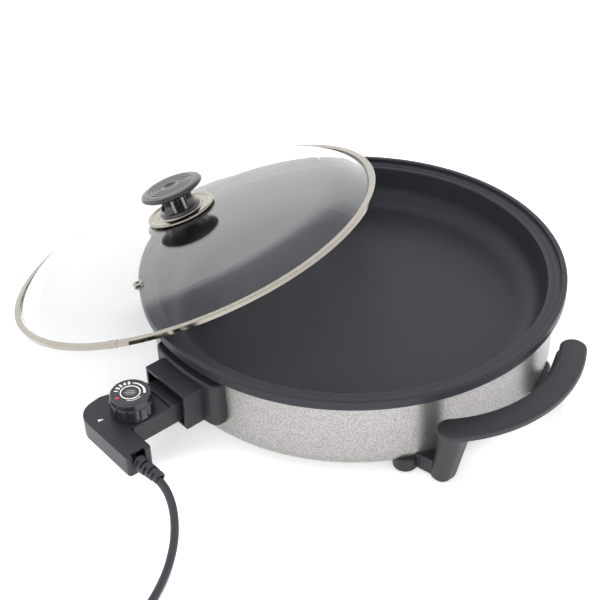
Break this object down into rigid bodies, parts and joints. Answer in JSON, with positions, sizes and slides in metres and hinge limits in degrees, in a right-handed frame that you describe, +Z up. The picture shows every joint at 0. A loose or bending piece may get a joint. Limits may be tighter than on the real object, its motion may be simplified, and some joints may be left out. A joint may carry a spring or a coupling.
{
  "type": "electric frying pan",
  "caption": "Round table-top electric frying pan with a domed glass lid leaning on its rim, side grips on legs, and a plug-in thermostat probe with a dial and mains cord.",
  "frame": {"origin": "point on the table under the pan's centre", "axes": "+Z up along the pan's axis; -Y out of the probe socket; the two grips lie along +X and -X"},
  "size_m": [0.675, 0.632, 0.1419],
  "materials": {
    "nonstick": "satin non-stick coating over cast aluminium, with a faint grain",
    "hammertone": "hammered silver-grey paint",
    "heater_steel": "satin",
    "ceramic": "matt ceramic",
    "zinc_steel": "satin zinc plate",
    "aluminium_sheet": "mill finish",
    "black_plastic": "fine moulded grain",
    "bakelite": "semi-gloss",
    "clear_glass": "clear polished",
    "polished_steel": "mirror polish",
    "brass": "bare brass",
    "soft_seal": "matt silicone",
    "printed_scale": "satin black with white and red print",
    "cord_rubber": "satin PVC",
    "tie_strap": "woven strap",
    "nickel": "bright nickel"
  },
  "bodies": {
    "base": {"cooking_pan": "nonstick", "outer_housing": "hammertone", "heating_element": "heater_steel", "contact_pins": "heater_steel", "pin_bushes": "ceramic", "element_clamps": "heater_steel", "clamp_screws": "zinc_steel", "sensor_guide": "aluminium_sheet", "heat_reflector": "aluminium_sheet", "lower_spacers": "zinc_steel", "upper_spacers": "zinc_steel", "body_screws": "zinc_steel", "socket_housing": "black_plastic", "terminal_plate": "ceramic", "socket_screws": "zinc_steel", "earth_tongue": "zinc_steel", "right_handle": "black_plastic", "left_handle": "black_plastic", "handle_screws": "zinc_steel", "nut_plates": "zinc_steel"},
    "lid": {"lid_glass": "clear_glass", "lid_band": "polished_steel", "steam_vent": "polished_steel", "knob_washer": "polished_steel", "knob_stem": "bakelite", "knob_cap": "bakelite", "knob_insert": "brass", "knob_seal": "soft_seal", "knob_screw": "zinc_steel"},
    "probe": {"probe_lower_shell": "black_plastic", "probe_upper_shell": "black_plastic", "probe_screws": "zinc_steel", "sensor_rod": "zinc_steel", "female_contacts": "brass", "thermostat_base": "ceramic", "switch_blades": "brass", "bimetal_strip": "brass", "cord_clamp": "black_plastic", "cord_jacket_end": "cord_rubber", "inner_leads": "cord_rubber", "strain_relief": "cord_rubber", "power_cord": "cord_rubber", "cord_coil": "cord_rubber", "cord_tail": "cord_rubber", "cord_tie": "tie_strap", "plug_body": "cord_rubber", "plug_pins": "nickel", "plug_earth_strips": "nickel"},
    "dial": {"dial_knob": "bakelite", "dial_disc": "printed_scale", "dial_shaft": "brass"}
  },
  "joints": [
    {"name": "lid_lift", "type": "slide", "parent": "base", "child": "lid", "axis": [0, 0, 1], "range_m": [0, 0.15]},
    {"name": "probe_pull", "type": "slide", "parent": "base", "child": "probe", "axis": [0, -1, 0], "range_m": [0, 0.1]},
    {"name": "dial_turn", "type": "hinge", "parent": "probe", "child": "dial", "pos_m": [0, -0.254, 0.0775], "axis": [0, 0, -1], "range_deg": [0, 270]}
  ]
}
